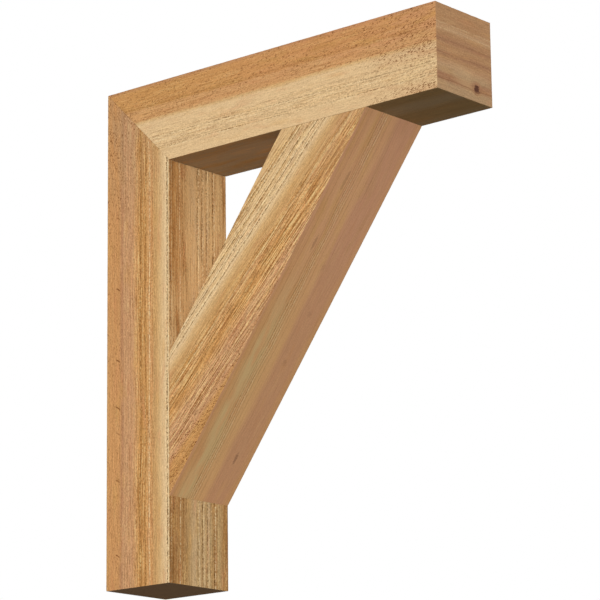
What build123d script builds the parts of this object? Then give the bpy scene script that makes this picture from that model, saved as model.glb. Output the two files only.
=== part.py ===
from build123d import *

import os
from math import atan2, cos, hypot, pi, sin

# Timber wall bracket: a leg against the wall and an arm out from it, mitred at
# the corner, with a diagonal brace between them. All three are square timber,
# flush at both sides and screwed together from the back and the top.
#
# +X runs out from the wall and +Z up, and Y = 0 is the middle of the width.
# The origin is where the wall face meets the top face. Sizes are in mm.

# Outside sizes
height = 609.6  # leg, from the top face to its lower end
projection = 508.0  # arm, from the wall face to its free end
width = 101.6  # across all three timbers

# Timber sections as the side view shows them
leg_depth = 101.6
arm_depth = 101.6
brace_depth = 101.6
arris = 1.0  # bevel on the long edges, which are eased before the ends are cut

# The brace's outer face, where it reaches the other two timbers
foot_rise = 101.6  # up from the leg's lower end
head_setback = 101.6  # in from the arm's free end

# Timber screws, all alike
screw_length = 152.4  # under the head
thread_length = 76.2  # the point included
thread_diameter = 8.0
shank_diameter = 5.8
point_length = 10.0
washer_diameter = 15.5
washer_thickness = 1.8
head_diameter = 11.0
head_height = 2.6  # above the washer
star_points = 6
star_tip_diameter = 6.6
star_notch_diameter = 4.7
star_depth = 3.2

# Drilling
counterbore_diameter = 19.0
counterbore_depth = 25.4
shank_hole_diameter = 8.5  # through the timber that the screw pulls in
thread_fit = 0.05  # all round the thread, in the timber that it holds
point_room = 3.0  # left free beyond the screw's point

# Places of the screws
screw_spacing = 50.8  # the two screws of a pair, across the width
corner_screw_inset = 58.0  # from the outer corner, along the top or down the back
foot_screw_rise = 135.0  # above the lower edge of the brace's foot
head_screw_setback = 82.0  # in from the outer edge of the brace's head

# The line of the brace
foot_z = foot_rise - height
head_x = projection - head_setback
brace_run = head_x - leg_depth
brace_climb = -arm_depth - foot_z
brace_slope = atan2(brace_climb, brace_run)
brace_along = (cos(brace_slope), 0, sin(brace_slope))
brace_inward = (-sin(brace_slope), 0, cos(brace_slope))
saw_waste = 20.0  # extra blank at each end, which the end cuts take off

# Planes of the three joints, and the start of the brace's blank
mitre_plane = Plane(origin=(0, 0, 0), x_dir=(0, 1, 0), z_dir=(arm_depth, 0, leg_depth))
leg_front_plane = Plane(origin=(leg_depth, 0, 0), x_dir=(0, 1, 0), z_dir=(1, 0, 0))
arm_under_plane = Plane(origin=(0, 0, -arm_depth), x_dir=(1, 0, 0), z_dir=(0, 0, 1))
brace_toe_plane = Plane(origin=(leg_depth, 0, foot_z), x_dir=brace_inward, z_dir=brace_along)

# Planes that the screws are driven from, each at the middle of its screws
corner_top_plane = Plane(origin=(corner_screw_inset, 0, 0), x_dir=(1, 0, 0), z_dir=(0, 0, 1))
corner_back_plane = Plane(origin=(0, 0, -corner_screw_inset), x_dir=(0, 0, 1), z_dir=(-1, 0, 0))
head_screw_plane = Plane(origin=(head_x - head_screw_setback, 0, 0), x_dir=(1, 0, 0), z_dir=(0, 0, 1))
foot_screw_plane = Plane(origin=(0, 0, foot_z + foot_screw_rise), x_dir=(0, 0, 1), z_dir=(-1, 0, 0))

pair = GridLocations(screw_spacing, screw_spacing, 1, 2)
single = GridLocations(screw_spacing, screw_spacing, 1, 1)


def place(plane, pattern):
    """The locations of a pattern of screws on the plane they are driven from."""
    return Locations(*[plane * spot for spot in pattern.local_locations])


def shank_hole():
    """A counterbored hole right through the timber that a screw pulls in."""
    CounterBoreHole(
        radius=shank_hole_diameter / 2,
        counter_bore_radius=counterbore_diameter / 2,
        counter_bore_depth=counterbore_depth,
    )


def thread_hole():
    """A blind hole in the timber that the screw's thread holds."""
    Hole(
        radius=thread_diameter / 2 + thread_fit,
        depth=counterbore_depth + screw_length + point_room,
    )


# Leg: eased square stock, mitred at the top, bored from the back
with BuildPart() as leg:
    with BuildSketch(Plane.XY):
        Rectangle(leg_depth, width, align=(Align.MIN, Align.CENTER))
        chamfer(vertices(), arris)
    extrude(amount=-height)
    split(bisect_by=mitre_plane, keep=Keep.BOTTOM)
    with place(foot_screw_plane, pair):
        shank_hole()
    with place(corner_back_plane, single):
        shank_hole()
    with place(corner_top_plane, pair):
        thread_hole()

# Arm: the same stock, mitred at the wall end, bored from the top
with BuildPart() as arm:
    with BuildSketch(Plane.YZ):
        Rectangle(width, arm_depth, align=(Align.CENTER, Align.MAX))
        chamfer(vertices(), arris)
    extrude(amount=projection)
    split(bisect_by=mitre_plane, keep=Keep.TOP)
    with place(head_screw_plane, pair):
        shank_hole()
    with place(corner_top_plane, pair):
        shank_hole()
    with place(corner_back_plane, single):
        thread_hole()

# Brace: a sloping blank with a plumb cut at its foot and a level cut at its head
with BuildPart() as brace:
    with BuildSketch(brace_toe_plane.offset(-saw_waste)):
        Rectangle(brace_depth, width, align=(Align.MIN, Align.CENTER))
        chamfer(vertices(), arris)
    extrude(amount=hypot(brace_run, brace_climb) + 2 * saw_waste)
    split(bisect_by=leg_front_plane, keep=Keep.TOP)
    split(bisect_by=arm_under_plane, keep=Keep.BOTTOM)
    with place(foot_screw_plane, pair):
        thread_hole()
    with place(head_screw_plane, pair):
        thread_hole()

# Screw: drawn below the face it is driven from, its washer on the counterbore's floor
seat_z = -counterbore_depth
thread_top_z = seat_z - screw_length + thread_length
point_top_z = seat_z - screw_length + point_length
washer_top_z = seat_z + washer_thickness
head_top_z = washer_top_z + head_height
star_corners = [
    (diameter / 2 * cos(pi * corner / star_points), diameter / 2 * sin(pi * corner / star_points))
    for corner, diameter in enumerate([star_tip_diameter, star_notch_diameter] * star_points)
]

with BuildPart() as screw:
    with BuildSketch(Plane.XZ):
        with BuildLine():
            Polyline(
                (0, head_top_z),
                (head_diameter / 2 - head_height / 2, head_top_z),
                (head_diameter / 2, washer_top_z),
                (washer_diameter / 2, washer_top_z - washer_thickness / 2),
                (washer_diameter / 2, seat_z),
                (shank_diameter / 2, seat_z),
                (shank_diameter / 2, thread_top_z),
                (thread_diameter / 2, thread_top_z - (thread_diameter - shank_diameter) / 2),
                (thread_diameter / 2, point_top_z),
                (0, seat_z - screw_length),
                close=True,
            )
        make_face()
    revolve(axis=Axis.Z)
    with BuildSketch(Plane.XY.offset(head_top_z)):
        with BuildLine():
            Polyline(*star_corners, close=True)
        make_face()
    extrude(amount=-star_depth, mode=Mode.SUBTRACT)

# The screws of each joint, in place
with BuildPart() as corner_top_screws:
    with place(corner_top_plane, pair):
        add(screw.part)

with BuildPart() as corner_back_screw:
    with place(corner_back_plane, single):
        add(screw.part)

with BuildPart() as brace_head_screws:
    with place(head_screw_plane, pair):
        add(screw.part)

with BuildPart() as brace_foot_screws:
    with place(foot_screw_plane, pair):
        add(screw.part)

leg.part.label = "leg"
arm.part.label = "arm"
brace.part.label = "brace"
corner_top_screws.part.label = "corner_top_screws"
corner_back_screw.part.label = "corner_back_screw"
brace_head_screws.part.label = "brace_head_screws"
brace_foot_screws.part.label = "brace_foot_screws"

os.makedirs("parts", exist_ok=True)
export_step(leg.part, "parts/leg.step")
export_step(arm.part, "parts/arm.step")
export_step(brace.part, "parts/brace.step")
export_step(corner_top_screws.part, "parts/corner_top_screws.step")
export_step(corner_back_screw.part, "parts/corner_back_screw.step")
export_step(brace_head_screws.part, "parts/brace_head_screws.step")
export_step(brace_foot_screws.part, "parts/brace_foot_screws.step")
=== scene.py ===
from dataclasses import dataclass, replace
from math import atan2, cos, pi, radians, sin, tan

import bmesh
import bpy
from bpy.props import FloatProperty, FloatVectorProperty, IntProperty, PointerProperty
from mathutils import Matrix, Vector


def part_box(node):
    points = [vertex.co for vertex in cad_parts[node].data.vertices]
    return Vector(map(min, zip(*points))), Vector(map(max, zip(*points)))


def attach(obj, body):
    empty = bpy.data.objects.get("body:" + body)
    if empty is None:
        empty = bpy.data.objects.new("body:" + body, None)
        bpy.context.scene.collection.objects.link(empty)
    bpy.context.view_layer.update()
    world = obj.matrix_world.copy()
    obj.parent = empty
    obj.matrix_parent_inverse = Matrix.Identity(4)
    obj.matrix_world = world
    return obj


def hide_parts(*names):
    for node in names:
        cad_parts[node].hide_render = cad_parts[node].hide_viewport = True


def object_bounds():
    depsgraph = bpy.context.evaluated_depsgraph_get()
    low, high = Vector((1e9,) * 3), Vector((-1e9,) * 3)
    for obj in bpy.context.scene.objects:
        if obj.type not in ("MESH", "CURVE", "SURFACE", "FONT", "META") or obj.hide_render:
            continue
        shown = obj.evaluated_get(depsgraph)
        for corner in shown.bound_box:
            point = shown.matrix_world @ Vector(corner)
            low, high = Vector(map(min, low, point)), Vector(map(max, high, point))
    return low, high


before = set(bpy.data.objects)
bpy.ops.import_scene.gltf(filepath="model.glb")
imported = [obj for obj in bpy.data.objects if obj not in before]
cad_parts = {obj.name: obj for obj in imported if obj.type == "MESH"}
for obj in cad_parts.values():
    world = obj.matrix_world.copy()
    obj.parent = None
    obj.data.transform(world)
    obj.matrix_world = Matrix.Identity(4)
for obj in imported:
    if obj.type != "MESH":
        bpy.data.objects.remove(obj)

bl_info = {
    "name": "Timber Wall Bracket",
    "version": (1, 0, 0),
    "blender": (4, 5, 0),
    "location": "3D View > Sidebar > Bracket",
    "description": "Makes a rough-sawn cedar wall bracket and its screws around their solid model",
    "category": "Add Mesh",
}

CAD_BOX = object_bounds()
BODY = "root"
MM = 0.001

ACROSS = Vector((0, 1, 0))
OUT = Vector((1, 0, 0))
UP = Vector((0, 0, 1))

# Sizes of the timbers, read from the solid model
LEG_LOW, LEG_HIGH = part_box("leg")
ARM_LOW, ARM_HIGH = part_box("arm")
BRACE_LOW, BRACE_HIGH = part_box("brace")
WIDTH = LEG_HIGH.y - LEG_LOW.y
LEG_DEPTH = LEG_HIGH.x - LEG_LOW.x
ARM_DEPTH = ARM_HIGH.z - ARM_LOW.z
BRACE_CLIMB = BRACE_HIGH.z - BRACE_LOW.z
BRACE_SLOPE = atan2(BRACE_CLIMB, BRACE_HIGH.x - BRACE_LOW.x)
BRACE_ALONG = Vector((cos(BRACE_SLOPE), 0, sin(BRACE_SLOPE)))
BRACE_INWARD = Vector((-sin(BRACE_SLOPE), 0, cos(BRACE_SLOPE)))
BRACE_TOE = Vector((BRACE_LOW.x, 0, BRACE_LOW.z))
BRACE_DEPTH = max((v.co - BRACE_TOE).dot(BRACE_INWARD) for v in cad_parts["brace"].data.vertices)
NEAR_SIDE = ACROSS * LEG_LOW.y


def tone(code):
    """A colour written as six hexadecimal digits, as the linear values that Blender works in."""
    shares = [int(code[i:i + 2], 16) / 255 for i in (0, 2, 4)]
    return tuple(c / 12.92 if c <= 0.04045 else ((c + 0.055) / 1.055) ** 2.4 for c in shares)


def colour_property(name, code, use):
    return FloatVectorProperty(
        name=name, description=use, default=tone(code), subtype="COLOR", size=3, min=0, max=1
    )


def length_property(name, millimetres, use):
    default = millimetres * MM
    return FloatProperty(
        name=name, description=use, default=default, min=0, unit="LENGTH", subtype="DISTANCE", precision=5
    )


def angle_property(name, degrees, use):
    return FloatProperty(name=name, description=use, default=radians(degrees), subtype="ANGLE")


def light_property(name, strength, use):
    return FloatProperty(name=name, description=use, default=strength, min=0)


def count_property(name, count, most, use):
    return IntProperty(name=name, description=use, default=count, min=4, max=most)


class BracketWoodColours(bpy.types.PropertyGroup):
    """The tones that run through the cedar."""

    gold: colour_property("Gold", "C69656", "Yellow patches")
    rust: colour_property("Rust", "C4835A", "Reddish patches")
    cream: colour_property("Cream", "DCBB8D", "Palest sapwood")
    straw: colour_property("Straw", "D2AC78", "Sapwood beside the heart")
    tan: colour_property("Tan", "C69B66", "Plain wood between bands")
    honey: colour_property("Honey", "CA9865", "Warm pale heartwood")
    amber: colour_property("Amber", "C69259", "Orange heartwood")
    copper: colour_property("Copper", "C8935F", "Orange-brown heartwood")
    rose: colour_property("Rose", "C5956B", "Pink heartwood")
    mauve: colour_property("Mauve", "B4845F", "Dull line where pink turns to orange")
    ochre: colour_property("Ochre", "AE7B44", "Dark golden growth line")
    dun: colour_property("Dun", "C8A87C", "Greyish wood of the front")
    olive: colour_property("Olive", "C0A070", "Greenish wood of the front")
    khaki: colour_property("Khaki", "B99565", "Dull wood of the front")
    umber: colour_property("Umber", "AC7F4E", "Brown edge of the front")
    clay: colour_property("Clay", "B08660", "Pinkish planed wood")
    fawn: colour_property("Fawn", "C5936C", "Paler planed wood")
    ash: colour_property("Ash", "B79B74", "Greenish wood of the undersides")
    slate: colour_property("Slate", "A69477", "Underside in the corner")
    sage: colour_property("Sage", "AF8E60", "Darker bands of the undersides")
    salmon: colour_property("Salmon", "D08E68", "Reddish blush of the heartwood")
    brick: colour_property("Brick", "A4795A", "Brown bands of the planed end")
    russet: colour_property("Russet", "9C6F40", "Darkest edge of the front")
    caramel: colour_property("Caramel", "BC8951", "Brown heartwood of the brace")
    heather: colour_property("Heather", "AF8E6B", "Greyish pink of the planed end")
    sand: colour_property("Sand", "D2A16E", "Pale tan of the brace's outer face")
    loam: colour_property("Loam", "AD8B6A", "Underside of the leg")
    moss: colour_property("Moss", "CAAC79", "Greenish band of the brace's outer face")
    putty: colour_property("Putty", "BA946F", "Pale bands of the planed end")
    blush: colour_property("Blush", "CF967E", "Pinkish upper part of the brace's outer face")
    fleck: colour_property("Fleck", "7A4C28", "Short torn fibres")
    # The torn lines' dark tone: painted shadow in each torn line, over the brown of its fibres
    torn_line_shadow: colour_property("Bark", "5E3F14", "Bottom of a torn line")
    # Glint: pale raised fibre, and the painted highlight along the lip of each strong torn line
    glint: colour_property("Glint", "F2DDB0", "Raised fibre that has bleached")
    # Furrow and crest: painted shade at the bottom of each fine ruled line and a painted highlight on its
    # top; the furrow tone also mottles fresh wood in a bore
    furrow: colour_property("Furrow", "8F5E2C", "Bottom of a fine ruled line")
    crest: colour_property("Crest", "EBC98C", "Top of a fine ruled line")
    knot: colour_property("Knot", "54342B", "Heart of a knot")


class BracketSawnFinish(bpy.types.PropertyGroup):
    """The relief that the saw leaves, and how finely it is modelled."""

    ridge: length_property("Ridges", 0.35, "Depth of the ridges along the grain")
    tear: length_property("Torn lines", 0.7, "Depth of the torn lines")
    arris: length_property("Arris", 0.12, "How far the long edges are broken")
    end_arris: length_property("End arris", 0.12, "How far the edges of the ends are broken")
    fine: length_property("Fine relief", 0.6, "Depth of the fine fibre, in the material")
    cells_across: count_property("Cells across", 78, 160, "Mesh cells across each face")
    cells_along: count_property("Cells along", 216, 600, "Mesh cells along each timber")


class BracketScrewForm(bpy.types.PropertyGroup):
    """One timber screw and the hole that it is driven in."""

    length: length_property("Length", 152.4, "Under the washer")
    thread_length: length_property("Thread length", 76.2, "The point included")
    thread: length_property("Thread diameter", 8.0, "Over the crests")
    root: length_property("Root diameter", 5.0, "Under the thread")
    shank: length_property("Shank diameter", 5.8, "Between the head and the thread")
    pitch: length_property("Pitch", 4.6, "From one turn of the thread to the next")
    point: length_property("Point", 10.0, "Length of the tapered point")
    washer: length_property("Washer diameter", 15.5, "Flange under the head")
    washer_thickness: length_property("Washer thickness", 1.8, "Flange under the head")
    head: length_property("Head diameter", 11.0, "Above the washer")
    head_height: length_property("Head height", 2.6, "Above the washer")
    star: length_property("Star diameter", 6.6, "Across the tips of the recess")
    star_depth: length_property("Star depth", 3.2, "From the top of the head")
    counterbore: length_property("Counterbore diameter", 19.0, "Hole that takes the head")
    shank_hole: length_property("Shank hole diameter", 8.5, "Through the timber that is pulled in")
    thread_fit: length_property("Thread fit", 0.05, "All round the thread")
    point_room: length_property("Point room", 3.0, "Left free beyond the point")
    coat: colour_property("Coat", "7D6F5A", "Bronze coat of the steel")


class BracketStage(bpy.types.PropertyGroup):
    """The camera, the light and the floor."""

    azimuth: angle_property("Azimuth", 40.459, "Camera, turned about the vertical")
    elevation: angle_property("Elevation", -13.826, "Camera, below the level")
    roll: angle_property("Roll", -0.724, "Camera, turned about its line of sight")
    camera: FloatVectorProperty(
        name="Camera",
        description="Where the camera stands",
        default=(2.3661, -2.4679, -1.0908),
        subtype="TRANSLATION",
    )
    lens: FloatProperty(
        name="Lens", description="Focal length on a 36 mm sensor", default=173.39, unit="CAMERA", min=1
    )
    key: light_property("Key light", 2.85, "Strength of the soft lamp in front")
    back: light_property("Back light", 2.3, "Strength of the soft lamp behind")
    sky: light_property("Sky", 0.6, "Light from above the horizon")
    ground: light_property("Ground", 0.06, "Light from below the horizon")
    floor_drop: length_property("Floor drop", 720.0, "From the bracket's lowest edge down to the floor")


class Value:
    """A socket in an expression: arithmetic on it adds Math nodes to its tree."""

    def __init__(self, graph, socket):
        self.graph = graph
        self.socket = socket

    def __add__(self, other):
        return self.graph.math("ADD", self, other)

    def __radd__(self, other):
        return self.graph.math("ADD", other, self)

    def __sub__(self, other):
        return self.graph.math("SUBTRACT", self, other)

    def __rsub__(self, other):
        return self.graph.math("SUBTRACT", other, self)

    def __mul__(self, other):
        return self.graph.math("MULTIPLY", self, other)

    def __rmul__(self, other):
        return self.graph.math("MULTIPLY", other, self)

    def __truediv__(self, other):
        return self.graph.math("DIVIDE", self, other)

    def __gt__(self, other):
        return self.graph.math("GREATER_THAN", self, other)

    def __lt__(self, other):
        return self.graph.math("LESS_THAN", self, other)

    def __abs__(self):
        return self.graph.math("ABSOLUTE", self)


class Graph:
    """A node tree written as expressions. The same expressions serve a material and a mesh."""

    def __init__(self, tree):
        self.tree = tree

    def node(self, kind, settings=None, inputs=None, output=0):
        """A new node: its settings first, then the values or links of its sockets."""
        node = self.tree.nodes.new(kind)
        for name, setting in (settings or {}).items():
            if name == "stops":
                self.fill_ramp(node.color_ramp, setting)
            else:
                setattr(node, name, setting)
        if not isinstance(inputs, dict):
            inputs = dict(enumerate(inputs or []))
        for key, given in inputs.items():
            for each in given if isinstance(given, list) else [given]:
                if isinstance(each, Value):
                    self.tree.links.new(each.socket, node.inputs[key])
                else:
                    node.inputs[key].default_value = each
        return Value(self, node.outputs[output]) if len(node.outputs) else node

    @staticmethod
    def fill_ramp(ramp, stops):
        ramp.elements[0].position = stops[0][0]
        ramp.elements[1].position = stops[-1][0]
        for share, _ in stops[1:-1]:
            ramp.elements.new(share)
        for element, (_, colour) in zip(ramp.elements, stops):
            element.color = colour

    def math(self, operation, *values):
        return self.node("ShaderNodeMath", {"operation": operation}, values)

    def smooth(self, value, low, high):
        """0 below low, 1 above high and a soft step between. It falls instead where low is above high."""
        sockets = {"Value": value, "From Min": low, "From Max": high}
        return self.node("ShaderNodeMapRange", {"interpolation_type": "SMOOTHSTEP"}, sockets)

    def vector(self, x, y, z):
        return self.node("ShaderNodeCombineXYZ", {}, [x, y, z])

    def parts(self, vector):
        split = self.tree.nodes.new("ShaderNodeSeparateXYZ")
        self.tree.links.new(vector.socket, split.inputs[0])
        return [Value(self, socket) for socket in split.outputs]

    def dot(self, vector, direction):
        settings = {"operation": "DOT_PRODUCT"}
        return self.node("ShaderNodeVectorMath", settings, [vector, tuple(direction)], "Value")

    def scale(self, vector, factor):
        return self.node("ShaderNodeVectorMath", {"operation": "SCALE"}, {"Vector": vector, "Scale": factor})

    def mix(self, factor, first, second):
        """Two colours mixed. The colour sockets of the node share their names, so they go by number."""
        return self.node("ShaderNodeMix", {"data_type": "RGBA"}, {0: factor, 6: first, 7: second}, 2)

    def ramp(self, value, stops):
        return self.node("ShaderNodeValToRGB", {"stops": stops}, [value])

    def strengths(self, value, stops):
        """A number that follows the value through places and the strengths there."""
        grey = [(place, (strength, strength, strength, 1)) for place, strength in stops]
        return self.ramp(value, grey) + 0.0

    def noise(self, x, y, z, detail=2.0, roughness=0.5):
        sockets = {"Vector": self.vector(x, y, z), "Scale": 1.0, "Detail": detail, "Roughness": roughness}
        return self.node("ShaderNodeTexNoise", {}, sockets)

    def cloud(self, places, size, detail, roughness=0.5):
        """Noise whose marks have one size all round, at the places x, y and z."""
        return self.noise(*[place / size for place in places], detail, roughness)

    def paint(self, sockets):
        """Close a material with one shader that has these sockets."""
        shader = self.node("ShaderNodeBsdfPrincipled", {}, sockets)
        self.node("ShaderNodeOutputMaterial", {}, {"Surface": shader})


# A torn line stronger than this gets a painted highlight along its lip, on the side where its wall would
# face the light
PLAIN_LINE = 0.45  # a dark line that is stronger than this has a pale lip


@dataclass
class Look:
    """How one kind of face is marked. Places across it are shares of its width."""

    tones: list
    lines: tuple = ()  # dark lines: place, half width, strength
    glints: tuple = ()  # pale lines, the same way
    # The ruled lines carry painted shade in their grooves and a painted highlight on their crests
    ruling: tuple = ((0.0, 0.5), (1.0, 0.5))  # places, and how strong the fine ruled lines are there
    pitting: tuple = ()  # places, and how strong the short torn flecks are there
    beaded: float = 0.8  # how broken the ruled lines are
    knots: tuple = ()  # place along in metres, place across, length, breadth, strength
    ticks: tuple = ()  # slanted cuts: metres along and strength
    tick_row: float = 0.18  # place across of the row of cuts
    speckle: tuple = ()  # what the pitting gains: strengths at metres along, and at places across
    washes: tuple = ()  # each a tone, its strengths at metres along, and at places across
    drift: float = 5.0  # how far the bands stray sideways, in millimetres
    shiver: float = 1.4  # how ragged their edges are, in millimetres
    dotted: float = 1.0  # how broken the lines are
    streak: float = 0.42  # contrast of the fibres
    stain: float = 0.4  # how far patches turn golden or rusty
    peck: float = 0.75  # contrast of the short cuts
    rough: float = 1.0  # share of the sawn relief


@dataclass
class Face:
    """One face's look and the directions in it: along the grain and across it, from an edge."""

    look: Look
    origin: Vector
    along: Vector
    across: Vector
    span: float

    def spot(self, graph, position):
        """Distances along, across and into the wood, in metres."""
        directions = (self.along, self.across, self.along.cross(self.across))
        return [graph.dot(position, way) - self.origin.dot(way) for way in directions]


class Grain:
    """The fields that mark a face, in metres and shares, for its colour and its relief alike."""

    def __init__(self, graph, face, position):
        look = face.look
        self.graph = graph
        self.look = look
        self.s, self.t, self.n = face.spot(graph, position)
        self.flat = self.t
        share = self.flat / face.span
        drift = (self.field(150, 50) - 0.5) * (share * (1 - share) * 4)
        self.t = self.flat + drift * (look.drift * 2 * MM)
        for centre, place, length, breadth, _ in look.knots:
            self.t = self.bend(centre, place * face.span, length, breadth)
        shiver = self.field(5.5, 3, 3.0, 0.6) - 0.5
        self.share = self.t / face.span + shiver * (look.shiver * 2 * MM / face.span)
        self.ridge = self.field(60, 2.3, 0.0)
        self.thread = self.field(45, 1.2, 0.0)
        self.dots = self.field(2.4, 2, 0.0)
        self.fibre = self.field(10, 1.4, 1.0)
        self.grit = self.field(2.2, 1.8, 1.0, deep=3)
        beads = graph.smooth(self.dots, 0.36, 0.52)
        gaps = graph.smooth(self.dots, 0.64, 0.48)
        pits = graph.smooth(self.dots, 0.40, 0.55)
        zones = graph.smooth(self.field(90, 20), 0.35, 0.60)
        comes_and_goes = graph.smooth(self.field(28, 6), 0.30, 0.55)
        whole = 1 - look.beaded
        self.ruling = self.profile(look.ruling) * (0.6 + zones * 0.5)
        # Masks for the ruled lines: painted shade dark in each fine groove, painted highlight pale on each
        # crest
        self.groove_shade = graph.smooth(self.thread, 0.48, 0.30) * (whole + beads * look.beaded) * self.ruling
        self.crest = graph.smooth(self.thread, 0.52, 0.70) * (whole + gaps * look.beaded) * self.ruling
        broken = (1 - look.dotted + pits * look.dotted) * (0.6 + comes_and_goes * 0.4)
        self.line = self.strokes(look.lines) * broken
        # A painted highlight along the lip of each strong torn line, where its wall would catch the light
        lit_lips = [(at + half * 1.5, half, dark * 0.85) for at, half, dark in look.lines if dark > PLAIN_LINE]
        shine = (0.15 + gaps * 0.85) * (0.35 + comes_and_goes * 0.65)
        self.glint = self.strokes([*look.glints, *lit_lips]) * shine

    def field(self, along, across, detail=2.0, roughness=0.5, deep=None):
        """Noise whose marks are so long, so broad and so deep, in millimetres."""
        sizes = (along, across, deep or across)
        places = [place / (size * MM) for place, size in zip((self.s, self.t, self.n), sizes)]
        return self.graph.noise(*places, detail, roughness)

    def profile(self, strengths):
        """Strengths that change across the face."""
        return self.graph.strengths(self.share, strengths) if strengths else 0.0

    def spread(self, along, across):
        """Strengths that change both ways."""
        return self.graph.strengths(self.s, along) * self.profile(across)

    def bend(self, centre, place, length, breadth):
        """The place across the fibres, which part round a knot."""
        near = 1 - self.graph.smooth(abs(self.s - centre), 0, length * 2)
        offset = self.t - place
        reach = 1 - self.graph.smooth(abs(offset), 0, breadth * 3)
        return self.t - offset * near * reach * 0.7

    def strokes(self, strokes):
        """Lines along the grain, each a narrow peak in a ramp across the face."""
        if not strokes:
            return 0.0
        stops = [(0.0, 0.0)]
        for place, half, strength in sorted(strokes):
            stops += [(place - half, 0.0), (place, strength), (place + half, 0.0)]
        return self.graph.strengths(self.share, [*stops, (1.0, 0.0)])

    def tick_mark(self, centre, place):
        """A short curved cut across the grain."""
        graph = self.graph
        ragged = (graph.cloud((self.s, self.flat, 0.0), 0.002, 1.0) - 0.5) * 0.0012
        a = self.s - centre
        b = self.flat - place
        off = abs(a + b * 0.6 + b * b * 60 + ragged)
        return graph.smooth(off, 0.0013, 0.0004) * graph.smooth(abs(b), 0.0040, 0.0020)

    def flecks(self):
        """Short torn fibres that lie aslant of the grain, in lanes."""
        graph = self.graph
        a = self.s - self.t * 0.35
        b = self.t + self.s * 0.35
        short = graph.smooth(graph.noise(a / 0.0036, b / 0.0010, self.n / 0.003, 1.0), 0.50, 0.66)
        lanes = graph.smooth(graph.noise(a / 0.018, b / 0.0036, self.n / 0.004, 2.0), 0.38, 0.60)
        return short * (0.25 + lanes * 0.9)

    def knot_marks(self, centre, place, length, breadth):
        """A ragged spot."""
        graph = self.graph
        a = (self.s - centre) / length
        b = (self.flat - place) / breadth
        ragged = graph.cloud((self.s, self.flat, 0.0), 0.002, 1.0) - 0.5
        return graph.smooth(graph.math("SQRT", a * a + b * b) + ragged * 1.2, 1.05, 0.55)


def named(name):
    """One of the wood's tones, as a socket takes it."""
    return (*getattr(bpy.context.scene.bracket_wood, name), 1)


def new_material(name):
    """An empty material and the graph of its nodes."""
    material = bpy.data.materials.new(name)
    material.use_nodes = True
    graph = Graph(material.node_tree)
    graph.tree.nodes.clear()
    return material, graph


def wood_material(name, face):
    """A procedural cedar for one face: bands, fibres, torn lines in painted shadow, ruled lines with painted
    shade and highlight, glints that are partly painted highlight, specks and fine relief.
    """
    look = face.look
    material, graph = new_material(name)
    grain = Grain(graph, face, graph.node("ShaderNodeTexCoord", output="Object"))

    colour = graph.ramp(grain.share, [(place, named(each)) for place, each in look.tones])
    patch = grain.field(50, 10, 3.0)
    elsewhere = grain.n / 0.008 + 7
    other = graph.noise(grain.s / 0.04, grain.t / 0.008, elsewhere, 3.0)
    colour = graph.mix(graph.smooth(patch, 0.50, 0.75) * look.stain, colour, named("gold"))
    colour = graph.mix(graph.smooth(other, 0.52, 0.78) * look.stain, colour, named("rust"))
    fine = (grain.fibre - 0.5) * look.streak * 2 + (grain.grit - 0.5) * look.peck
    light = 1 + fine * (0.5 + grain.ruling * 0.65) + (patch - 0.5) * 0.12
    colour = graph.scale(colour, light)
    for tone_name, along, across in look.washes:
        cover = grain.spread(along, across) * graph.smooth(patch, 0.3, 0.6)
        colour = graph.mix(cover, colour, named(tone_name))
    # Painted shade in the fine grooves, and a painted highlight on their crests
    colour = graph.mix(grain.groove_shade * 0.6, colour, named("furrow"))
    colour = graph.mix(grain.crest * 0.5, colour, named("crest"))
    dark = grain.line * 0.95
    if look.speckle or look.pitting:
        crowd = grain.profile(look.pitting)
        if look.speckle:
            crowd = grain.spread(*look.speckle) + crowd
        colour = graph.mix(crowd * grain.flecks(), colour, named("fleck"))
    for centre, strength in look.ticks:
        mark = grain.tick_mark(centre, look.tick_row * face.span) * strength
        colour = graph.mix(mark, colour, named("fleck"))
    # Painted shadow in the torn lines
    colour = graph.mix(dark, colour, named("torn_line_shadow"))
    # Pale fibre lines, and the painted highlight on the lips of the torn lines
    colour = graph.mix(grain.glint, colour, named("glint"))
    for centre, place, length, breadth, strength in look.knots:
        mark = grain.knot_marks(centre, place * face.span, length, breadth) * strength
        colour = graph.mix(mark, colour, named("knot"))

    depth = bpy.context.scene.bracket_finish.fine * (0.25 + 0.75 * look.rough)
    height = grain.thread * 0.7 + grain.fibre * 0.6 + grain.grit * 0.5 - dark * 1.2 + grain.glint * 0.3
    bump = graph.node("ShaderNodeBump", {}, {"Strength": 1.0, "Distance": depth, "Height": height})
    roughness = 0.62 + 0.2 * look.rough + (grain.fibre - 0.5) * 0.2
    graph.paint({"Base Color": colour, "Roughness": roughness, "Specular IOR Level": 0.0, "Normal": bump})
    return material


def plain_wood(name):
    """Wood inside a bore, freshly cut."""
    material, graph = new_material(name)
    places = graph.parts(graph.node("ShaderNodeTexCoord", output="Object"))
    grain = graph.cloud(places, 0.004, 3.0)
    colour = graph.mix(grain, named("furrow"), named("umber"))
    bump = graph.node("ShaderNodeBump", {}, {"Distance": 0.2 * MM, "Height": grain})
    graph.paint({"Base Color": colour, "Roughness": 0.85, "Normal": bump})
    return material


@dataclass
class Timber:
    """One timber: the directions of its blank, the lines of its end cuts and its faces."""

    node: str
    origin: Vector
    along: Vector
    inward: Vector
    depth: float
    start: tuple  # along the first face, and what the cut gains over the depth
    end: tuple
    faces: dict  # first, last, sides, start and end
    pulled: tuple  # screws whose heads are in it
    held: tuple  # screws whose threads are in it


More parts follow.
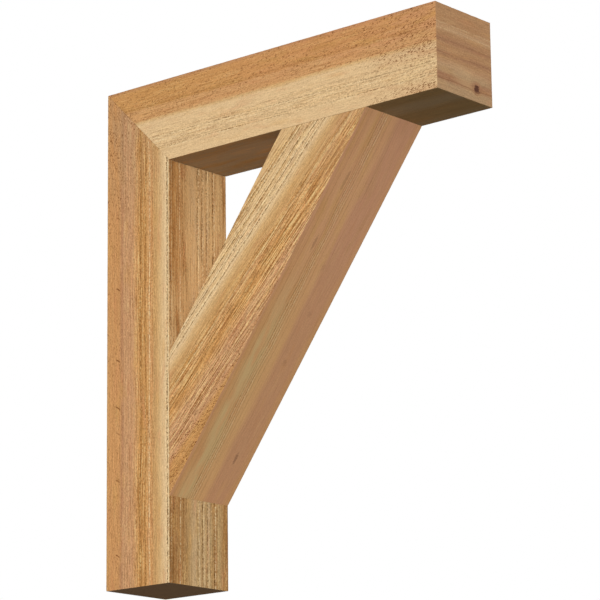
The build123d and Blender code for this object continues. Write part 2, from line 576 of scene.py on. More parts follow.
def new_tree(name, inputs):
    """A geometry node group with named inputs: its graph, and the inputs as values."""
    tree = bpy.data.node_groups.new(name, "GeometryNodeTree")
    tree.interface.new_socket("Geometry", in_out="OUTPUT", socket_type="NodeSocketGeometry")
    for label, (kind, default) in inputs.items():
        socket = tree.interface.new_socket(label, in_out="INPUT", socket_type="NodeSocket" + kind)
        if default is not None:
            socket.default_value = default
    graph = Graph(tree)
    group = tree.nodes.new("NodeGroupInput")
    return graph, {socket.name: Value(graph, socket) for socket in group.outputs if socket.name}


def close_tree(graph, geometry):
    """The tree with its last geometry linked to its output."""
    output = graph.tree.nodes.new("NodeGroupOutput")
    graph.tree.links.new(geometry.socket, output.inputs[0])
    return graph.tree


def sawn_tree(timber, materials):
    """Geometry nodes that cut a fine grid to the timber's form and sink the saw's relief into it."""
    finish = bpy.context.scene.bracket_finish
    inputs = {
        "Depth": ("Float", timber.depth),
        "Width": ("Float", WIDTH),
        "Start": ("Float", timber.start[0]),
        "Start gain": ("Float", timber.start[1]),
        "End": ("Float", timber.end[0]),
        "End gain": ("Float", timber.end[1]),
        "Ridges": ("Float", finish.ridge),
        "Torn lines": ("Float", finish.tear),
        "Arris": ("Float", finish.arris),
        "End arris": ("Float", finish.end_arris),
        "Cells across": ("Int", finish.cells_across),
        "Cells along": ("Int", finish.cells_along),
    }
    graph, given = new_tree(timber.node + "_sawn", inputs)

    across_count = given["Cells across"] + 1
    along_count = given["Cells along"] + 1
    counts = {"Vertices X": across_count, "Vertices Y": across_count, "Vertices Z": along_count}
    block = graph.node("GeometryNodeMeshCube", {}, {"Size": (1, 1, 1), **counts}, "Mesh")
    normal = graph.parts(graph.node("GeometryNodeInputNormal"))
    picks = {
        "first": normal[0] < -0.5,
        "last": normal[0] > 0.5,
        "sides": abs(normal[1]) > 0.5,
        "start": normal[2] < -0.5,
        "end": normal[2] > 0.5,
    }
    for place, pick in picks.items():
        sockets = {"Geometry": block, "Selection": pick, "Material": materials[place]}
        block = graph.node("GeometryNodeSetMaterial", {}, sockets)

    # The unit block's place, as shares of the depth, the width and the length
    x, y, z = graph.parts(graph.node("GeometryNodeInputPosition"))
    across = timber.along.cross(timber.inward)
    u = (x + 0.5) * given["Depth"]
    v = y * given["Width"]
    low = given["Start"] + (x + 0.5) * given["Start gain"]
    high = given["End"] + (x + 0.5) * given["End gain"]
    s = low + (z + 0.5) * (high - low)

    def put(u, v, s):
        sums = [
            u * timber.inward[axis] + v * across[axis] + s * timber.along[axis] + timber.origin[axis]
            for axis in range(3)
        ]
        return graph.vector(*sums)

    clean = put(u, v, s)

    # How deep each face is sunk, and where
    edge = 0.4999
    margin = 0.03  # share of a face beside each long edge, where its relief runs out
    on = {
        "first": x < -edge,
        "last": x > edge,
        "near": y < -edge,
        "far": y > edge,
        "start": z < -edge,
        "end": z > edge,
    }
    room = {"first": 0.5 - abs(y), "last": 0.5 - abs(y), "sides": 0.5 - abs(x)}
    sunk = {}
    for name, inside in room.items():
        face = timber.faces[name]
        grain = Grain(graph, face, clean)
        ridges = (1 - grain.ridge) * given["Ridges"] * face.look.rough
        torn = grain.line * given["Torn lines"] * (0.2 + 0.8 * face.look.rough)
        sunk[name] = (ridges + torn) * graph.smooth(inside, 0.0, margin)
    wear = graph.cloud(graph.parts(clean), 0.006, 3.0, 0.6)
    arris = given["Arris"] * (0.7 + graph.smooth(wear, 0.42, 0.68) * 0.6)
    on_sides = on["near"] + on["far"]
    on_depth = on["first"] + on["last"]
    on_ends = on["start"] + on["end"]
    long_edge = on_sides * on_depth
    end_edge = on_ends * graph.math("MAXIMUM", on_sides, on_depth)
    rim = long_edge * arris + end_edge * given["End arris"]
    du = on["first"] * (sunk["first"] + rim) - on["last"] * (sunk["last"] + rim)
    dv = (on["near"] - on["far"]) * (sunk["sides"] + rim)
    ds = (on["start"] - on["end"]) * end_edge * given["End arris"]
    position = put(u + du, v + dv, s + ds)
    shaped = graph.node("GeometryNodeSetPosition", {}, {"Geometry": block, "Position": position})
    return close_tree(graph, graph.node("GeometryNodeRealizeInstances", {}, [shaped]))


def screw_seats(node):
    """The places of a joint's screws, on the floor of their counterbores, and the way they point out."""
    form = bpy.context.scene.bracket_screw
    low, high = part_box(node)
    rise = form.washer_thickness + form.head_height
    centre = (low + high) / 2
    driven_down = high.z - low.z > high.x - low.x
    out = UP if driven_down else -OUT
    half_spacing = (high.y - low.y - form.washer) / 2
    pair = half_spacing > form.washer
    seats = []
    for y in (centre.y - half_spacing, centre.y + half_spacing) if pair else (centre.y,):
        if driven_down:
            seats.append(Vector((centre.x, y, high.z - rise)))
        else:
            seats.append(Vector((low.x + rise, y, centre.z)))
    return seats, out


def add_turned(mesh, steps, seat, out, segments=40):
    """Add a closed body of revolution: steps of radius and height along the outward way from the seat."""
    turn = UP.rotation_difference(out).to_matrix()
    rings = []
    for radius, height in steps:
        ring = []
        for k in range(segments):
            angle = 2 * pi * k / segments
            point = Vector((radius * cos(angle), radius * sin(angle), height))
            ring.append(mesh.verts.new(seat + turn @ point))
        rings.append(ring)
    for below, above in zip(rings, rings[1:]):
        for k in range(segments):
            following = (k + 1) % segments
            mesh.faces.new((below[k], below[following], above[following], above[k]))
    mesh.faces.new(reversed(rings[0]))
    mesh.faces.new(rings[-1])


def bores(timber, material):
    """The bores that are cut from a timber, as one mesh."""
    form = bpy.context.scene.bracket_screw
    beyond = 0.2
    wide = form.counterbore / 2
    narrow = form.shank_hole / 2
    tight = form.thread / 2 + form.thread_fit
    passing = [(narrow, -beyond), (narrow, 0), (wide, 0), (wide, beyond)]
    holding = [(tight, -form.length - form.point_room), (tight, beyond)]
    mesh = bmesh.new()
    for steps, nodes in ((passing, timber.pulled), (holding, timber.held)):
        for node in nodes:
            seats, out = screw_seats(node)
            for seat in seats:
                add_turned(mesh, steps, seat, out)
    data = bpy.data.meshes.new(timber.node + "_bores")
    data.materials.append(material)
    mesh.to_mesh(data)
    mesh.free()
    return data


def new_object(name, data):
    piece = bpy.data.objects.new(name, data)
    bpy.context.scene.collection.objects.link(piece)
    return piece


def settle(piece, name, crease):
    """Give the piece what its modifiers made as a plain mesh, smooth where it turns less than the crease."""
    bpy.context.view_layer.update()
    evaluated = piece.evaluated_get(bpy.context.evaluated_depsgraph_get())
    data = bpy.data.meshes.new_from_object(evaluated)
    data.name = name
    if not data.polygons:
        raise RuntimeError(f"{name} came out with no faces")
    for slot in reversed(range(len(data.materials))):
        if data.materials[slot] is None:
            data.materials.pop(index=slot)
    piece.modifiers.clear()
    piece.data = data
    data.shade_smooth()
    data.set_sharp_from_angle(angle=radians(crease))


def own(piece, node):
    """The piece rides on the bracket's one body, in place of its solid."""
    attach(piece, BODY)
    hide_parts(node)


def build_timber(timber):
    """A timber, sawn to its form and then bored."""
    materials = {
        place: wood_material(f"{timber.node}_{place}", face) for place, face in timber.faces.items()
    }
    inside = plain_wood(timber.node + "_bore")
    piece = new_object(timber.node + "_timber", bpy.data.meshes.new(timber.node))
    sawn = piece.modifiers.new("Sawn", "NODES")
    sawn.node_group = sawn_tree(timber, materials)
    cutter = new_object(timber.node + "_cutter", bores(timber, inside))
    drill = piece.modifiers.new("Bores", "BOOLEAN")
    drill.operation = "DIFFERENCE"
    drill.solver = "MANIFOLD"
    drill.material_mode = "TRANSFER"
    drill.object = cutter
    settle(piece, timber.node + "_timber", crease=42)
    bpy.data.objects.remove(cutter)
    own(piece, timber.node)


SIDE_OF_LEG = Look(
    tones=[
        (0.0, "tan"), (0.04, "copper"), (0.2, "copper"), (0.25, "mauve"), (0.29, "rose"), (0.42, "rose"),
        (0.47, "honey"), (0.52, "amber"), (0.54, "ochre"), (0.57, "caramel"), (0.6, "amber"),
        (0.615, "ochre"), (0.63, "amber"), (0.675, "honey"), (0.7, "copper"), (0.725, "copper"),
        (0.745, "tan"), (0.79, "tan"), (0.84, "straw"), (0.92, "cream"), (0.98, "cream"), (1.0, "straw"),
    ],
    lines=(
        (0.3, 0.008, 0.25), (0.34, 0.008, 0.25), (0.38, 0.008, 0.2), (0.54, 0.012, 0.44),
        (0.615, 0.01, 0.35), (0.72, 0.008, 0.35), (0.76, 0.008, 0.3), (0.966, 0.012, 1.0),
    ),
    glints=((0.68, 0.009, 0.7), (0.945, 0.009, 0.6)),
    ruling=(
        (0.0, 0.2), (0.24, 0.25), (0.3, 0.5), (0.42, 0.5), (0.47, 1.0), (0.7, 1.0), (0.74, 0.6),
        (0.8, 0.15), (0.93, 0.2), (1.0, 0.7),
    ),
    pitting=((0.0, 0.45), (0.2, 0.45), (0.28, 0.25), (0.45, 0.25), (0.6, 0.15), (1.0, 0.05)),
    ticks=((0.04, 0.8), (0.129, 0.7), (0.186, 0.4), (0.217, 0.8), (0.2745, 0.9), (0.362, 0.9), (0.45, 0.4)),
    washes=(
        (
            "heather",
            ((0.44, 0.0), (0.54, 1.0)),
            ((0.0, 0.1), (0.1, 0.5), (0.5, 0.5), (0.6, 0.4), (0.8, 0.3)),
        ),
    ),
    speckle=(((0.4, 0.0), (0.54, 1.0)), ((0.0, 0.5), (0.8, 0.4), (1.0, 0.1))),
    beaded=0.95,
    peck=0.85,
)

FRONT_OF_LEG = Look(
    tones=[
        (0.0, "russet"), (0.08, "russet"), (0.12, "umber"), (0.23, "umber"), (0.34, "khaki"), (0.43, "dun"),
        (0.46, "dun"), (0.49, "olive"), (0.52, "dun"), (0.56, "khaki"), (0.6, "dun"), (0.63, "khaki"),
        (0.67, "dun"), (0.71, "olive"), (0.74, "khaki"), (0.77, "umber"), (0.8, "umber"), (0.83, "olive"),
        (0.87, "khaki"), (0.93, "umber"), (1.0, "russet"),
    ],
    lines=(
        (0.03, 0.01, 0.5), (0.08, 0.01, 0.4), (0.25, 0.01, 0.35), (0.3, 0.01, 0.3), (0.495, 0.012, 0.6),
        (0.575, 0.012, 0.7), (0.655, 0.012, 0.7), (0.71, 0.008, 0.4), (0.77, 0.012, 0.8),
    ),
    glints=((0.007, 0.007, 0.7), (0.195, 0.01, 0.6), (0.6, 0.01, 0.3), (0.67, 0.01, 0.3)),
    ruling=((0.0, 0.6), (0.28, 0.7), (0.33, 0.15), (0.45, 0.15), (0.5, 0.8), (0.9, 0.8), (1.0, 0.6)),
    washes=(
        ("caramel", ((0.26, 0.0), (0.34, 1.0)), ((0.0, 0.5), (0.12, 0.5), (0.34, 0.0))),
        ("straw", ((0.3, 0.0), (0.36, 1.0)), ((0.12, 0.0), (0.38, 0.8), (1.0, 0.75))),
        # Painted light: a straw patch that brightens the crevice where the brace meets the leg, against the
        # shade that falls there
        (
            "straw",
            ((0.25, 0.0), (0.27, 1.0), (0.32, 1.0), (0.38, 0.0)),
            ((0.0, 1.0), (0.24, 0.9), (0.4, 0.0)),
        ),
    ),
    beaded=0.95,
    pitting=((0.0, 0.3), (1.0, 0.3)),
    peck=0.95,
)

SIDE_OF_ARM = Look(
    tones=[
        (0.0, "mauve"), (0.05, "amber"), (0.24, "amber"), (0.285, "caramel"), (0.31, "honey"),
        (0.43, "honey"), (0.455, "straw"), (0.49, "cream"), (1.0, "cream"),
    ],
    lines=(
        (0.275, 0.014, 0.25), (0.62, 0.006, 0.3), (0.675, 0.008, 0.5), (0.705, 0.006, 0.4),
        (0.765, 0.006, 0.4), (0.797, 0.006, 0.4), (0.825, 0.008, 0.5), (0.87, 0.006, 0.2),
    ),
    glints=((0.735, 0.007, 0.5),),
    ruling=(
        (0.0, 0.35), (0.42, 0.45), (0.48, 0.1), (0.58, 0.2), (0.62, 0.7), (0.82, 0.7), (0.86, 0.2),
        (1.0, 0.1),
    ),
    pitting=((0.0, 0.65), (0.32, 0.65), (0.44, 0.55), (0.5, 0.2), (1.0, 0.15)),
    washes=(
        (
            "rose",
            ((0.4, 0.0), (0.48, 1.0)),
            ((0.36, 0.5), (0.45, 0.2), (0.5, 0.45), (0.58, 0.5), (0.66, 0.0), (0.86, 0.0), (0.93, 0.45)),
        ),
        ("salmon", ((0.1, 0.0), (0.3, 1.0)), ((0.3, 0.3), (0.46, 0.0))),
    ),
    speckle=(
        ((0.38, 0.0), (0.48, 1.0)),
        (
            (0.0, 0.4), (0.4, 0.6), (0.47, 1.2), (0.56, 1.1), (0.64, 0.45), (0.86, 0.45), (0.93, 1.2),
            (1.0, 1.2),
        ),
    ),
    drift=3.0,
    shiver=2.4,
    streak=0.3,
    stain=0.25,
    peck=0.7,
)

ROUGH_FACE = Look(
    tones=[
        (0.0, "copper"), (0.2, "amber"), (0.3, "honey"), (0.42, "rose"), (0.5, "amber"), (0.56, "ochre"),
        (0.6, "honey"), (0.75, "straw"), (0.9, "honey"), (1.0, "copper"),
    ],
    lines=((0.3, 0.01, 0.4), (0.56, 0.012, 0.6), (0.66, 0.01, 0.4), (0.82, 0.01, 0.4)),
    glints=((0.59, 0.01, 0.5),),
)

UNDERSIDE = Look(
    tones=[
        (0.0, "khaki"), (0.1, "sage"), (0.19, "sage"), (0.31, "ash"), (0.44, "ash"), (0.56, "sage"),
        (0.69, "sage"), (0.81, "sage"), (1.0, "ash"),
    ],
    ruling=((0.0, 0.2), (1.0, 0.2)),
    drift=6.0,
    dotted=0.2,
    streak=0.18,
    stain=0.15,
    peck=0.2,
    rough=0.2,
    washes=(("slate", ((0.24, 1.0), (0.34, 0.0)), ((0.0, 0.2), (0.15, 0.9), (1.0, 0.9))),),
)

END_OF_LEG = replace(UNDERSIDE, tones=[(0.0, "loam"), (1.0, "loam")], washes=())

END_OF_ARM = Look(
    tones=[
        (0.0, "clay"), (0.2, "clay"), (0.27, "putty"), (0.34, "clay"), (0.42, "brick"), (0.47, "clay"),
        (0.52, "clay"), (0.57, "brick"), (0.62, "clay"), (0.69, "putty"), (0.77, "heather"),
        (0.82, "brick"), (0.87, "brick"), (0.91, "heather"), (1.0, "heather"),
    ],
    lines=((0.33, 0.006, 0.2), (0.41, 0.007, 0.25), (0.57, 0.008, 0.25), (0.87, 0.008, 0.4)),
    glints=((0.22, 0.007, 0.35), (0.285, 0.006, 0.3)),
    knots=((0.0725, 0.85, 0.006, 0.0056, 0.9),),
    washes=(
        ("brick", ((0.055, 0.0), (0.085, 1.0)), ((0.62, 0.0), (0.69, 0.6), (0.76, 0.6), (0.82, 0.0))),
        (
            "dun",
            ((0.025, 0.0), (0.045, 1.0), (0.06, 1.0), (0.07, 0.0)),
            ((0.62, 0.0), (0.72, 0.4), (0.84, 0.4), (0.92, 0.0)),
        ),
    ),
    ruling=((0.0, 0.25), (1.0, 0.25)),
    drift=7.0,
    dotted=0.1,
    streak=0.32,
    stain=0.2,
    peck=0.9,
    rough=0.08,
)

SIDE_OF_BRACE = Look(
    tones=[
        (0.0, "honey"), (0.05, "amber"), (0.08, "caramel"), (0.11, "amber"), (0.14, "amber"),
        (0.18, "rose"), (0.23, "rose"), (0.25, "mauve"), (0.27, "rose"), (0.33, "rose"), (0.36, "honey"),
        (0.41, "amber"), (0.43, "amber"), (0.445, "ochre"), (0.46, "amber"), (0.51, "honey"), (0.53, "tan"),
        (0.545, "amber"), (0.57, "tan"), (0.61, "tan"), (0.65, "straw"), (0.69, "cream"), (0.78, "cream"),
        (0.8, "straw"), (0.83, "cream"), (0.86, "straw"), (0.885, "tan"), (0.92, "straw"), (1.0, "tan"),
    ],
    lines=(
        (0.25, 0.005, 0.25), (0.445, 0.006, 0.45), (0.48, 0.005, 0.4), (0.545, 0.006, 0.4),
        (0.708, 0.005, 0.9), (0.755, 0.005, 1.0), (0.803, 0.005, 1.0), (0.857, 0.005, 0.9),
        (0.885, 0.005, 1.0),
    ),
    glints=((0.53, 0.006, 0.35), (0.69, 0.006, 0.4)),
    ruling=(
        (0.0, 0.3), (0.16, 0.5), (0.2, 1.5), (0.5, 1.5), (0.56, 1.0), (0.6, 0.25), (0.68, 0.25),
        (0.71, 1.0), (0.9, 1.0), (1.0, 0.6),
    ),
    washes=(
        (
            "putty",
            ((0.36, 0.0), (0.46, 1.0)),
            ((0.24, 0.0), (0.3, 0.5), (0.5, 0.5), (0.62, 0.3), (0.8, 0.1)),
        ),
        ("cream", ((0.3, 0.0), (0.36, 1.0)), ((0.78, 0.0), (0.84, 0.5), (1.0, 0.5))),
        ("cream", ((0.14, 1.0), (0.19, 0.0)), ((0.62, 0.0), (0.7, 0.6), (0.85, 0.6))),
    ),
    pitting=((0.0, 1.0), (0.17, 1.0), (0.24, 0.2), (0.5, 0.25), (0.6, 0.15), (1.0, 0.2)),
    drift=2.0,
    dotted=0.75,
    beaded=0.6,
    streak=0.5,
    peck=0.9,
)

OUTSIDE_OF_BRACE = Look(
    tones=[
        (0.0, "fawn"), (0.06, "honey"), (0.12, "honey"), (0.22, "sand"), (0.34, "honey"), (0.4, "sand"),
        (0.54, "sand"), (0.62, "fawn"), (0.88, "fawn"), (1.0, "honey"),
    ],
    lines=(
        (0.06, 0.006, 0.25), (0.13, 0.006, 0.35), (0.285, 0.006, 0.35), (0.325, 0.006, 0.7),
        (0.36, 0.005, 0.5), (0.395, 0.006, 0.7), (0.43, 0.005, 0.45), (0.48, 0.006, 0.35),
        (0.64, 0.006, 0.2),
    ),
    knots=(
        (0.061, 0.74, 0.009, 0.0026, 0.42), (0.19, 0.74, 0.006, 0.004, 0.14),
        (0.255, 0.74, 0.005, 0.005, 0.12), (0.313, 0.59, 0.006, 0.003, 0.12),
        (0.339, 0.26, 0.012, 0.0028, 0.28), (0.42, 0.25, 0.016, 0.003, 0.24),
    ),
    washes=(
        (
            "moss",
            ((0.2, 1.0), (0.32, 0.0)),
            ((0.08, 0.0), (0.18, 0.85), (0.28, 0.85), (0.42, 0.2), (0.6, 0.0)),
        ),
        ("blush", ((0.22, 0.0), (0.36, 1.0)), ((0.0, 0.3), (1.0, 0.3))),
    ),
    ruling=((0.0, 0.2), (1.0, 0.2)),
    drift=6.0,
    dotted=0.1,
    streak=0.16,
    stain=0.2,
    peck=0.4,
    rough=0.08,
)

INSIDE_OF_BRACE = replace(OUTSIDE_OF_BRACE, knots=(), drift=9.0, stain=0.4)


def wide_face(look, corner, along):
    """A face that spans the bracket's width, from a corner in its middle plane."""
    return Face(look, corner + NEAR_SIDE, along, ACROSS, WIDTH)


def timbers():
    """The three timbers with their faces, placed from the solid model."""
    foot = Vector((LEG_LOW.x, 0, LEG_LOW.z))
    leg = Timber(
        node="leg",
        origin=foot,
        along=UP,
        inward=OUT,
        depth=LEG_DEPTH,
        start=(0.0, 0.0),
        end=(LEG_HIGH.z - LEG_LOW.z, -ARM_DEPTH),
        faces={
            "first": wide_face(ROUGH_FACE, foot, UP),
            "last": wide_face(FRONT_OF_LEG, foot, UP),
            "sides": Face(SIDE_OF_LEG, foot, UP, OUT, LEG_DEPTH),
            "start": wide_face(END_OF_LEG, foot, OUT),
            "end": wide_face(UNDERSIDE, foot, OUT),
        },
        pulled=("corner_back_screw", "brace_foot_screws"),
        held=("corner_top_screws",),
    )
    corner = Vector((ARM_LOW.x, 0, ARM_HIGH.z))
    arm_end = Vector((ARM_HIGH.x, 0, ARM_HIGH.z)) + NEAR_SIDE
    arm = Timber(
        node="arm",
        origin=corner,
        along=OUT,
        inward=-UP,
        depth=ARM_DEPTH,
        start=(0.0, LEG_DEPTH),
        end=(ARM_HIGH.x - ARM_LOW.x, 0.0),
        faces={
            "first": wide_face(ROUGH_FACE, corner, OUT),
            "last": wide_face(UNDERSIDE, corner, OUT),
            "sides": Face(SIDE_OF_ARM, corner, OUT, -UP, ARM_DEPTH),
            "start": wide_face(UNDERSIDE, corner, OUT),
            "end": Face(END_OF_ARM, arm_end, ACROSS, -UP, ARM_DEPTH),
        },
        pulled=("corner_top_screws", "brace_head_screws"),
        held=("corner_back_screw",),
    )
    # The grain on the brace's sides runs flatter than the brace, so it takes more room across
    grain_along = Vector((cos(pi / 4), 0, sin(pi / 4)))
    grain_across = Vector((-sin(pi / 4), 0, cos(pi / 4)))
    grain_span = BRACE_DEPTH * 1.6
    brace = Timber(
        node="brace",
        origin=BRACE_TOE,
        along=BRACE_ALONG,
        inward=BRACE_INWARD,
        depth=BRACE_DEPTH,
        start=(0.0, BRACE_DEPTH * tan(BRACE_SLOPE)),
        end=(BRACE_CLIMB / sin(BRACE_SLOPE), -BRACE_DEPTH / tan(BRACE_SLOPE)),
        faces={
            "first": wide_face(OUTSIDE_OF_BRACE, BRACE_TOE, BRACE_ALONG),
            "last": wide_face(INSIDE_OF_BRACE, BRACE_TOE, BRACE_ALONG),
            "sides": Face(SIDE_OF_BRACE, BRACE_TOE, grain_along, grain_across, grain_span),
            "start": wide_face(UNDERSIDE, BRACE_TOE, UP),
            "end": wide_face(UNDERSIDE, BRACE_TOE, OUT),
        },
        pulled=(),
        held=("brace_head_screws", "brace_foot_screws"),
    )
    return {each.node: each for each in (leg, arm, brace)}


def screw_steel():
    """Steel under a matt bronze coat that has rubbed thin in places."""
    material, graph = new_material("screw_steel")
    coat = bpy.context.scene.bracket_screw.coat
    places = graph.parts(graph.node("ShaderNodeTexCoord", output="Object"))
    grain = graph.cloud(places, 0.0006, 2.0)
    worn = graph.smooth(graph.cloud(places, 0.004, 4.0), 0.56, 0.72)
    colour = graph.mix(worn * 0.5, (*coat, 1), (0.45, 0.42, 0.38, 1))
    colour = graph.scale(colour, 0.85 + grain * 0.3)
    bump = graph.node("ShaderNodeBump", {}, {"Distance": 0.05 * MM, "Height": grain})
    metallic = 0.6 + worn * 0.3
    roughness = 0.52 - worn * 0.15
    graph.paint({"Base Color": colour, "Metallic": metallic, "Roughness": roughness, "Normal": bump})
    return material


def screw_tree(material):
    """Geometry nodes that make one timber screw and stand a copy at each point of the mesh."""
    form = bpy.context.scene.bracket_screw
    inputs = {"Seats": ("Geometry", None), "Turn": ("Rotation", (0, 0, 0))}
    for name in (
        "length", "thread_length", "thread", "root", "shank", "pitch", "point", "washer", "washer_thickness",
        "head", "head_height", "star", "star_depth",
    ):
        inputs[name.replace("_", " ").capitalize()] = ("Float", getattr(form, name))
    graph, given = new_tree("timber_screw", inputs)
    overlap = 0.2 * MM  # of each body with the next
    ridge_size = 1.1 * MM
    tip = 0.25 * MM
    washer_step = 0.01 * MM
    crown_drop = 0.6 * MM
    shoulder_inset = 0.5 * MM
    crown_inset = 1.3 * MM

    def lifted(geometry, height):
        translation = graph.vector(0.0, 0.0, height)
        return graph.node("GeometryNodeTransform", {}, {"Geometry": geometry, "Translation": translation})

    def cone(low_radius, high_radius, low, high):
        """A closed frustum that stands on the screw's line, between two heights above the seat."""
        sockets = {
            "Vertices": 40, "Side Segments": 1, "Fill Segments": 1,
            "Radius Top": high_radius, "Radius Bottom": low_radius, "Depth": high - low,
        }
        return lifted(graph.node("GeometryNodeMeshCone", {"fill_type": "NGON"}, sockets, "Mesh"), low)

    def helix(low, high, radius, pitch):
        """A thread's ridge between two heights, with its crest outward and its foot sunk in the core."""
        sockets = {
            "Resolution": 24, "Rotations": (high - low) / pitch, "Start Radius": radius,
            "End Radius": radius, "Height": high - low, "Reverse": False,
        }
        line = graph.node("GeometryNodeCurveSpiral", {}, sockets)
        line = graph.node("GeometryNodeSetCurveNormal", {"mode": "Z_UP"}, [line])
        sockets = {"Resolution": 3, "Radius": ridge_size}
        profile = graph.node("GeometryNodeCurvePrimitiveCircle", {"mode": "RADIUS"}, sockets)
        profile = graph.node("GeometryNodeTransform", {}, {"Geometry": profile, "Rotation": (0, 0, pi)})
        sockets = {"Curve": line, "Profile Curve": profile, "Fill Caps": True}
        return lifted(graph.node("GeometryNodeCurveToMesh", {}, sockets), low)

    def boolean(operation, sockets):
        settings = {"operation": operation, "solver": "MANIFOLD"}
        return graph.node("GeometryNodeMeshBoolean", settings, sockets)

    length = given["Length"]
    thread_top = given["Thread length"] - length
    point_top = given["Point"] - length
    washer_top = given["Washer thickness"]
    washer_middle = washer_top * 0.5
    head_top = washer_top + given["Head height"]
    crown_low = head_top - crown_drop
    washer = given["Washer"] / 2
    head = given["Head"] / 2
    shank = given["Shank"] / 2
    root = given["Root"] / 2
    thread_line = given["Thread"] / 2 - ridge_size
    solid = boolean("UNION", {"Mesh 2": [
        cone(washer, washer, 0.0, washer_middle),
        cone(washer - washer_step, head, washer_middle - overlap, washer_top),
        cone(head, head - shoulder_inset, washer_top - overlap, crown_low),
        cone(head - shoulder_inset, head - crown_inset, crown_low - overlap, head_top),
        cone(shank, shank, thread_top, overlap),
        cone(root, root, point_top, thread_top + overlap),
        cone(tip, root, 0.0 - length, point_top + overlap),
        helix(point_top, thread_top, thread_line, given["Pitch"]),
    ]})

    # The star recess, cut by a rod with six soft ridges
    punch_height = 10 * MM
    sockets = {"Vertices": 48, "Radius": 1.0, "Depth": punch_height}
    rod = graph.node("GeometryNodeMeshCylinder", {"fill_type": "NGON"}, sockets, "Mesh")
    x, y, z = graph.parts(graph.node("GeometryNodeInputPosition"))
    turn = graph.math("ARCTAN2", y, x)
    reach = given["Star"] * (0.43 + graph.math("COSINE", turn * 6) * 0.07)
    position = graph.vector(x * reach, y * reach, z)
    star = graph.node("GeometryNodeSetPosition", {}, {"Geometry": rod, "Position": position})
    punch = lifted(star, head_top - given["Star depth"] + punch_height / 2)
    screw = boolean("DIFFERENCE", {"Mesh 1": solid, "Mesh 2": punch})

    sockets = {"Points": given["Seats"], "Instance": screw, "Rotation": given["Turn"]}
    placed = graph.node("GeometryNodeInstanceOnPoints", {}, sockets)
    real = graph.node("GeometryNodeRealizeInstances", {}, [placed])
    coated = graph.node("GeometryNodeSetMaterial", {}, {"Geometry": real, "Material": material})
    return close_tree(graph, coated)


def build_screws(node, tree):
    """The screws of one joint, each standing on its seat."""
    seats, out = screw_seats(node)
    data = bpy.data.meshes.new(node)
    data.from_pydata([tuple(seat) for seat in seats], [], [])
    piece = new_object(node + "_threaded", data)
    maker = piece.modifiers.new("Screws", "NODES")
    maker.node_group = tree
    turn = next(item.identifier for item in tree.interface.items_tree if item.name == "Turn")
    maker[turn] = tuple(UP.rotation_difference(out).to_euler())
    settle(piece, node + "_threaded", crease=30)
    own(piece, node)


def build_camera(stage):
    data = bpy.data.cameras.new("camera")
    data.lens = stage.lens
    data.sensor_width = 36
    camera = new_object("camera", data)
    facing = (
        Matrix.Rotation(stage.azimuth, 4, "Z")
        @ Matrix.Rotation(pi / 2 - stage.elevation, 4, "X")
        @ Matrix.Rotation(stage.roll, 4, "Z")
    )
    camera.matrix_world = Matrix.Translation(Vector(stage.camera)) @ facing
    bpy.context.scene.camera = camera


def build_world(stage):
    """A sky that is much dimmer below the horizon, and that the camera and reflections see as white."""
    world = bpy.data.worlds.new("sky")
    bpy.context.scene.world = world
    world.use_nodes = True
    graph = Graph(world.node_tree)
    graph.tree.nodes.clear()
    x, y, z = graph.parts(graph.node("ShaderNodeTexCoord", output="Generated"))
    strength = stage.ground + (stage.sky - stage.ground) * graph.smooth(z, -0.1, 0.1)
    light = graph.node("ShaderNodeBackground", {}, {"Color": (1, 1, 1, 1), "Strength": strength})
    white = graph.node("ShaderNodeBackground", {}, {"Color": (1, 1, 1, 1), "Strength": 1.0})
    seen = seen_directly(graph)
    both = graph.node("ShaderNodeMixShader", {}, [seen, light, white])
    graph.node("ShaderNodeOutputWorld", {}, {"Surface": both})


def seen_directly(graph):
    """1 for what the camera, a reflection or clear glass sees, 0 for light that falls on things."""
    path = graph.tree.nodes.new("ShaderNodeLightPath")
    names = ("Is Camera Ray", "Is Glossy Ray", "Is Transmission Ray")
    camera, glossy, clear = [Value(graph, path.outputs[name]) for name in names]
    return graph.math("MINIMUM", camera + glossy + clear, 1.0)


KEY_SIDE = (0.80, -1.0, -0.20)
BACK_SIDE = (-0.80, 0.9, 0.55)


def build_lamp(name, strength, towards):
    """A broad soft lamp, far off in the direction given."""
    data = bpy.data.lights.new(name, "SUN")
    data.energy = strength
    data.angle = radians(20)
    lamp = new_object(name, data)
    lamp.rotation_euler = Vector(towards).to_track_quat("Z", "Y").to_euler()


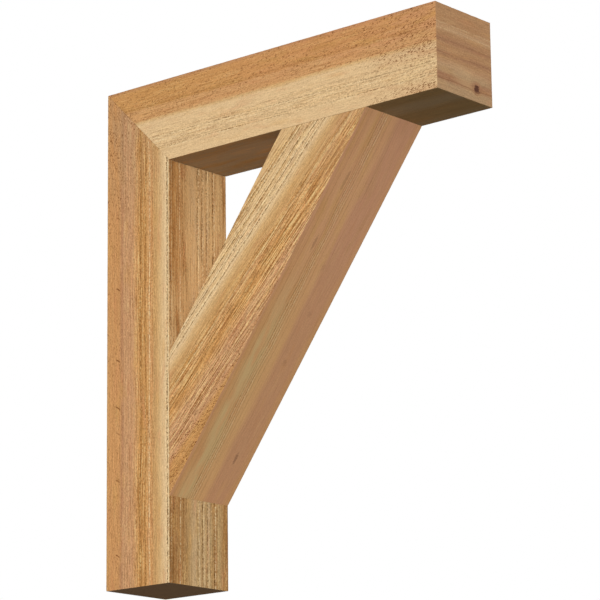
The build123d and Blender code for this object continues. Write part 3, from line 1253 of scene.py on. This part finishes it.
def build_floor(stage):
    """A pale floor well below the bracket. It keeps the shadow, and fades to white at its rim."""
    radius = 3.0
    mesh = bmesh.new()
    bmesh.ops.create_circle(mesh, cap_ends=True, segments=96, radius=radius)
    centre = (CAD_BOX[0] + CAD_BOX[1]) / 2
    level = CAD_BOX[0].z - stage.floor_drop
    bmesh.ops.translate(mesh, verts=mesh.verts, vec=(centre.x, centre.y, level))
    data = bpy.data.meshes.new("floor")
    mesh.to_mesh(data)
    mesh.free()
    floor = new_object("floor", data)
    material, graph = new_material("floor_paint")
    x, y, z = graph.parts(graph.node("ShaderNodeTexCoord", output="Object"))
    seen = seen_directly(graph)
    dx = x - centre.x
    dy = y - centre.y
    reach = graph.math("SQRT", dx * dx + dy * dy) / radius
    grain = graph.cloud((x, y, 0.0), 0.05, 2.0)
    colour = graph.mix(seen, (0.05, 0.045, 0.04, 1), (0.86, 0.86, 0.85, 1))
    paint = graph.node("ShaderNodeBsdfDiffuse", {}, {"Color": graph.scale(colour, 0.985 + grain * 0.03)})
    clear = graph.node("ShaderNodeBsdfTransparent")
    backs = graph.node("ShaderNodeNewGeometry", output="Backfacing")
    fade = graph.math("MAXIMUM", graph.smooth(reach, 0.35, 0.95), backs)
    shader = graph.node("ShaderNodeMixShader", {}, [fade, paint, clear])
    graph.node("ShaderNodeOutputMaterial", {}, {"Surface": shader})
    data.materials.append(material)


class BRACKET_OT_stage(bpy.types.Operator):
    """Set up the camera, the light and the floor"""

    bl_idname = "bracket.stage"
    bl_label = "Stage"

    def execute(self, context):
        stage = context.scene.bracket_stage
        build_camera(stage)
        build_world(stage)
        build_lamp("key", stage.key, KEY_SIDE)
        build_lamp("back", stage.back, BACK_SIDE)
        build_floor(stage)
        context.scene.view_settings.view_transform = "Standard"
        return {"FINISHED"}


class BRACKET_OT_leg(bpy.types.Operator):
    """Saw the upright timber"""

    bl_idname = "bracket.leg"
    bl_label = "Leg"

    def execute(self, context):
        build_timber(timbers()["leg"])
        return {"FINISHED"}


class BRACKET_OT_arm(bpy.types.Operator):
    """Saw the level timber"""

    bl_idname = "bracket.arm"
    bl_label = "Arm"

    def execute(self, context):
        build_timber(timbers()["arm"])
        return {"FINISHED"}


class BRACKET_OT_brace(bpy.types.Operator):
    """Saw the diagonal timber"""

    bl_idname = "bracket.brace"
    bl_label = "Brace"

    def execute(self, context):
        build_timber(timbers()["brace"])
        return {"FINISHED"}


class BRACKET_OT_screws(bpy.types.Operator):
    """Thread the screws of every joint"""

    bl_idname = "bracket.screws"
    bl_label = "Screws"

    def execute(self, context):
        tree = screw_tree(screw_steel())
        for node in ("corner_top_screws", "corner_back_screw", "brace_head_screws", "brace_foot_screws"):
            build_screws(node, tree)
        return {"FINISHED"}


class BRACKET_PT_panel(bpy.types.Panel):
    """The bracket's pieces and what can be changed in them"""

    bl_idname = "BRACKET_PT_panel"
    bl_label = "Bracket"
    bl_space_type = "VIEW_3D"
    bl_region_type = "UI"
    bl_category = "Bracket"

    def draw(self, context):
        layout = self.layout
        for step in STEPS:
            layout.operator(f"bracket.{step}")
        for name in GROUPS:
            box = layout.box()
            group = getattr(context.scene, name)
            for each in group.bl_rna.properties:
                if each.identifier not in ("rna_type", "name"):
                    box.prop(group, each.identifier)


STEPS = ("stage", "leg", "arm", "brace", "screws")
GROUPS = {
    "bracket_wood": BracketWoodColours,
    "bracket_finish": BracketSawnFinish,
    "bracket_screw": BracketScrewForm,
    "bracket_stage": BracketStage,
}
CLASSES = (
    *GROUPS.values(),
    BRACKET_OT_stage,
    BRACKET_OT_leg,
    BRACKET_OT_arm,
    BRACKET_OT_brace,
    BRACKET_OT_screws,
    BRACKET_PT_panel,
)


def register():
    for each in CLASSES:
        bpy.utils.register_class(each)
    for name, group in GROUPS.items():
        setattr(bpy.types.Scene, name, PointerProperty(type=group))


def unregister():
    for name in GROUPS:
        delattr(bpy.types.Scene, name)
    for each in reversed(CLASSES):
        bpy.utils.unregister_class(each)


def main():
    register()
    for step in STEPS:
        getattr(bpy.ops.bracket, step)()


if __name__ == "__main__":
    main()
